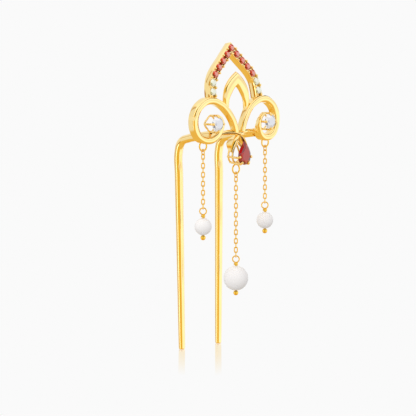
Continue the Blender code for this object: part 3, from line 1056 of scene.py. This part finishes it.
def add_floor():
    """Paper of an even white of its own, which takes no shadow, with a narrow polished lane on it.

    The lane runs toward the camera's place and shows faint reflections of the prong tips.
    """
    bpy.ops.mesh.primitive_plane_add(size=FLOOR_SIZE, location=(0, 0, -FLOOR_GAP))
    floor = bpy.context.object
    floor.name = "floor"
    shader = Shader("glossy_paper")
    tree = shader.tree
    emission = shader.add("Emission")
    emission.inputs["Color"].default_value = (PAPER_WHITE, PAPER_WHITE, PAPER_WHITE, 1)
    gloss = shader.add("BsdfGlossy")
    gloss.inputs["Color"].default_value = (1, 1, 1, 1)
    gloss.inputs["Roughness"].default_value = FLOOR_LANE_ROUGHNESS
    mix = shader.add("MixShader")
    coords = shader.add("TexCoord")
    lane = shader.add("Mapping", vector_type="TEXTURE")
    lane.inputs["Rotation"].default_value = (0, 0, TOWARD_CAMERA)
    lane.inputs["Scale"].default_value = (1, FLOOR_LANE_NARROWING, 1)
    distance = shader.add("VectorMath", operation="LENGTH")
    fade = shader.add("MapRange")
    fade.inputs["From Min"].default_value = FLOOR_GLOSS_NEAR
    fade.inputs["From Max"].default_value = FLOOR_GLOSS_FAR
    fade.inputs["To Min"].default_value = FLOOR_GLOSS
    fade.inputs["To Max"].default_value = 0.0
    shader.link(coords.outputs["Object"], lane.inputs["Vector"])
    shader.link(lane.outputs["Vector"], distance.inputs[0])
    shader.link(distance.outputs["Value"], fade.inputs["Value"])
    shader.link(fade.outputs["Result"], mix.inputs["Fac"])
    shader.link(emission.outputs["Emission"], mix.inputs[1])
    shader.link(gloss.outputs["BSDF"], mix.inputs[2])
    shader.link(mix.outputs["Shader"], tree.nodes["Material Output"].inputs["Surface"])
    tree.nodes.remove(shader.surface)
    floor.data.materials.append(shader.material)
    floor.visible_glossy = False
    floor.visible_diffuse = False


def direction(turn_degrees, elevation_degrees):
    """Unit vector at a turn to the camera's right and an elevation above the floor."""
    turn = TOWARD_CAMERA + math.radians(turn_degrees)
    elevation = math.radians(elevation_degrees)
    flat = math.cos(elevation)
    return Vector((math.cos(turn) * flat, math.sin(turn) * flat, math.sin(elevation)))


class World:
    """The world's node tree: what the gold reflects, and what lights the pearls."""

    def __init__(self):
        self.world = bpy.data.worlds.new("studio")
        bpy.context.scene.world = self.world
        self.world.use_nodes = True
        self.tree = self.world.node_tree
        self.tree.nodes.clear()
        self.ray = self.add("TexCoord").outputs["Generated"]

    def add(self, kind, **settings):
        made = self.tree.nodes.new("ShaderNode" + kind)
        for key, value in settings.items():
            setattr(made, key, value)
        return made

    def link(self, source, target):
        self.tree.links.new(source, target)

    def dot(self, vector):
        product = self.add("VectorMath", operation="DOT_PRODUCT")
        product.inputs[1].default_value = vector
        self.link(self.ray, product.inputs[0])
        return product.outputs["Value"]

    def math(self, operation, one, two=0.0):
        made = self.add("Math", operation=operation)
        for socket, value in zip(made.inputs, (one, two)):
            if isinstance(value, (int, float)):
                socket.default_value = value
            else:
                self.link(value, socket)
        return made.outputs["Value"]

    def step(self, value, start, end, low, high):
        """Value carried smoothly from low to high as it goes from start to end."""
        made = self.add("MapRange", interpolation_type="SMOOTHSTEP")
        for name, number in (("From Min", start), ("From Max", end), ("To Min", low), ("To Max", high)):
            made.inputs[name].default_value = number
        self.link(value, made.inputs["Value"])
        return made.outputs["Result"]

    def panel_edge(self, turn, elevation, half_width, half_height):
        """Below 1 inside a rounded panel, 1 at its edge, and more outside."""
        toward = direction(turn, elevation)
        side = direction(turn + 90, 0)
        rise = toward.cross(side)
        total = 0.0
        for axis, half in ((side, half_width), (rise, half_height)):
            share = self.math("DIVIDE", self.dot(axis), math.sin(math.radians(half)))
            total = self.math("ADD", self.math("POWER", self.math("ABSOLUTE", share), 4.0), total)
        behind = self.step(self.dot(toward), 0.0, 0.12, 10.0, 0.0)
        return self.math("ADD", total, behind)

    def paint(self, under, colour, mask):
        """colour over what is under it, where the mask is 1."""
        mix = self.add("MixRGB")
        mix.inputs["Color2"].default_value = (*colour, 1)
        self.link(mask, mix.inputs["Fac"])
        self.link(under, mix.inputs["Color1"])
        return mix.outputs["Color"]

    def panel(self, under, turn, elevation, half_width, half_height, brightness):
        edge = self.panel_edge(turn, elevation, half_width, half_height)
        mask = self.step(edge, 0.75, 1.35, 1.0, 0.0)
        return self.paint(under, (brightness,) * 3, mask)


def paint_studio(world):
    """What polished gold reflects: warm walls, soft panels, and the thin black rim of the right softbox.

    A band just above the horizon is as white as the paper, so the floor's gloss does not tint it.
    """
    away = world.step(world.dot(direction(FAR_WALL_TURN, 0)), -0.2, 0.9, 0.0, 1.0)
    walls = world.add("MixRGB")
    walls.inputs["Color1"].default_value = WALL_COLOUR
    walls.inputs["Color2"].default_value = FAR_WALL_COLOUR
    world.link(away, walls.inputs["Fac"])
    colour = walls.outputs["Color"]
    for panel in (BACKDROP, OVERHEAD, LEFT_WALL, LEFT_STRIP):
        colour = world.panel(colour, *panel)
    height = world.dot(Vector((0, 0, 1)))
    edge = world.panel_edge(*RIGHT_SOFTBOX[:4])
    rim_above = world.step(height, 0.1, 0.25, 0.0, 1.0)
    rim = world.math("MULTIPLY", world.step(edge, *RIM_EDGE, 1.0, 0.0), rim_above)
    colour = world.paint(colour, (0.0, 0.0, 0.0), rim)
    colour = world.paint(colour, (RIGHT_SOFTBOX[4],) * 3, world.step(edge, 0.95, 1.15, 1.0, 0.0))
    above_horizon = world.step(height, *WHITE_BAND_START, 0.0, 1.0)
    band = world.math("MULTIPLY", above_horizon, world.step(height, *WHITE_BAND_END, 1.0, 0.0))
    colour = world.paint(colour, (PAPER_WHITE,) * 3, band)
    below = world.step(height, FLOOR_BELOW, FLOOR_BELOW + 0.15, 1.0, 0.0)
    return world.paint(colour, FLOOR_COLOUR, below)


def soft_white(world):
    """White that is brighter toward the key light, which rounds the pearls."""
    facing = world.dot(direction(*KEY_LIGHT))
    return world.step(facing, -0.8, 0.9, FAR_SIDE_WHITE, KEY_SIDE_WHITE)


def add_world():
    """White to the camera, soft light to matt surfaces, and the studio to reflections."""
    world = World()
    world.world.cycles.sampling_method = "NONE"
    path = world.add("LightPath").outputs
    soft = world.add("Background")
    world.link(soft_white(world), soft.inputs["Color"])
    reflected = world.add("Background")
    world.link(paint_studio(world), reflected.inputs["Color"])
    white = world.add("Background")
    white.inputs["Color"].default_value = (PAPER_WHITE, PAPER_WHITE, PAPER_WHITE, 1)
    seen = soft.outputs["Background"]
    for ray, background in (("Is Glossy Ray", reflected), ("Is Camera Ray", white)):
        choose = world.add("MixShader")
        world.link(path[ray], choose.inputs["Fac"])
        world.link(seen, choose.inputs[1])
        world.link(background.outputs["Background"], choose.inputs[2])
        seen = choose.outputs["Shader"]
    world.link(seen, world.add("OutputWorld").inputs["Surface"])


add_camera()
add_floor()
add_world()
bpy.context.scene.view_settings.view_transform = "Standard"
